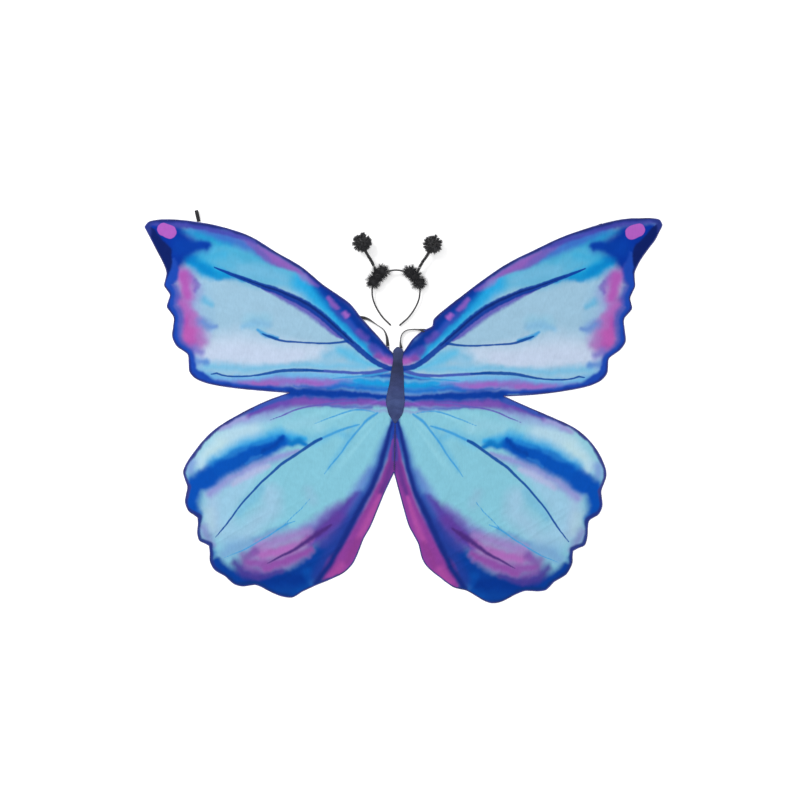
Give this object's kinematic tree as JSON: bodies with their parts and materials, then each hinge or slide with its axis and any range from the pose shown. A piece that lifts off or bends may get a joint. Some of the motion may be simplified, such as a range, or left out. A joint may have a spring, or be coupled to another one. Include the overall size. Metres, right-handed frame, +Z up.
{
  "type": "butterfly wing cape with antenna headband",
  "caption": "Soft printed-cloth butterfly wing cape with elastic shoulder straps and finger loops, laid flat beside its matching pompon-antenna headband.",
  "frame": {"origin": "middle of the back patch's underside, the face that rests on the surface and lies against the wearer's back", "axes": "+X across the wings to the side of the right wing in the top view, +Y towards the wearer's head and the headband, +Z up out of the printed face"},
  "size_m": [1.3646, 1.0359, 0.0526],
  "materials": {
    "printed_cloth": "light polyester satin, colour-washed print in blues, teal, lavender and magenta, soft sheen",
    "navy_thread": "overlocked polyester sewing thread, matt navy",
    "dark_cloth": "dark slate-navy polyester, matt, faintly see-through",
    "black_elastic": "flat braided elastic, ribbed, matt black",
    "black_ribbon": "wound satin ribbon, black",
    "black_plastic": "moulded black, satin gloss",
    "black_fur": "fluffy black marabou down",
    "black_tinsel": "black cut-foil tinsel and chenille, glinting"
  },
  "bodies": {
    "cape_middle": {"centre_cloth": "printed_cloth", "butterfly_body": "dark_cloth", "back_patch": "dark_cloth", "centre_seam": "navy_thread", "left_strap_neck_tack": "navy_thread", "left_strap_patch_tack": "navy_thread", "right_strap_neck_tack": "navy_thread", "right_strap_patch_tack": "navy_thread"},
    "left_wing": {"left_wing_cloth": "printed_cloth", "left_wing_hem": "navy_thread", "left_loop_tack": "navy_thread"},
    "right_wing": {"right_wing_cloth": "printed_cloth", "right_wing_hem": "navy_thread", "right_loop_tack": "navy_thread"},
    "left_finger_loop": {"left_finger_loop": "black_elastic"},
    "right_finger_loop": {"right_finger_loop": "black_elastic"},
    "left_shoulder_strap": {"left_shoulder_strap": "black_elastic"},
    "right_shoulder_strap": {"right_shoulder_strap": "black_elastic"},
    "headband": {"headband": "black_ribbon", "left_band_tip": "black_plastic", "right_band_tip": "black_plastic", "left_fur_puff": "black_fur", "right_fur_puff": "black_fur", "left_antenna_foot": "black_tinsel", "right_antenna_foot": "black_tinsel"},
    "left_antenna": {"left_antenna_stem": "black_tinsel", "left_pompon": "black_tinsel"},
    "right_antenna": {"right_antenna_stem": "black_tinsel", "right_pompon": "black_tinsel"}
  },
  "joints": [
    {"name": "left_wing_fold", "type": "hinge", "parent": "cape_middle", "child": "left_wing", "pos_m": [-0.028, 0, 0.0043], "axis": [0, 1, 0], "range_deg": [0, 85]},
    {"name": "right_wing_fold", "type": "hinge", "parent": "cape_middle", "child": "right_wing", "pos_m": [0.028, 0, 0.0043], "axis": [0, -1, 0], "range_deg": [0, 85]},
    {"name": "left_finger_loop_flip", "type": "hinge", "parent": "left_wing", "child": "left_finger_loop", "pos_m": [-0.517, 0.467, 0.0024], "axis": [0.9781, 0.2079, 0], "range_deg": [-110, 20]},
    {"name": "right_finger_loop_flip", "type": "hinge", "parent": "right_wing", "child": "right_finger_loop", "pos_m": [0.54, 0.461, 0.0058], "axis": [0.9613, 0.2756, 0], "range_deg": [0, 180]},
    {"name": "left_strap_swing", "type": "hinge", "parent": "cape_middle", "child": "left_shoulder_strap", "pos_m": [-0.057, -0.05, 0.0016], "axis": [-0.2363, -0.9717, 0], "range_deg": [0, 75]},
    {"name": "right_strap_swing", "type": "hinge", "parent": "cape_middle", "child": "right_shoulder_strap", "pos_m": [0.057, -0.05, 0.0016], "axis": [-0.2563, 0.9666, 0], "range_deg": [0, 75]},
    {"name": "headband_draw_away", "type": "slide", "parent": "cape_middle", "child": "headband", "axis": [0, 1, 0], "range_m": [0, 0.25]},
    {"name": "left_antenna_sway", "type": "hinge", "parent": "headband", "child": "left_antenna", "pos_m": [-0.0563, 0.351, 0.0204], "axis": [0, -0.1045, 0.9945], "range_deg": [-25, 25], "stiffness_Nm_per_rad": 0.05},
    {"name": "right_antenna_sway", "type": "hinge", "parent": "headband", "child": "right_antenna", "pos_m": [0.065, 0.3476, 0.0201], "axis": [0, -0.1045, 0.9945], "range_deg": [-25, 25], "stiffness_Nm_per_rad": 0.05}
  ]
}
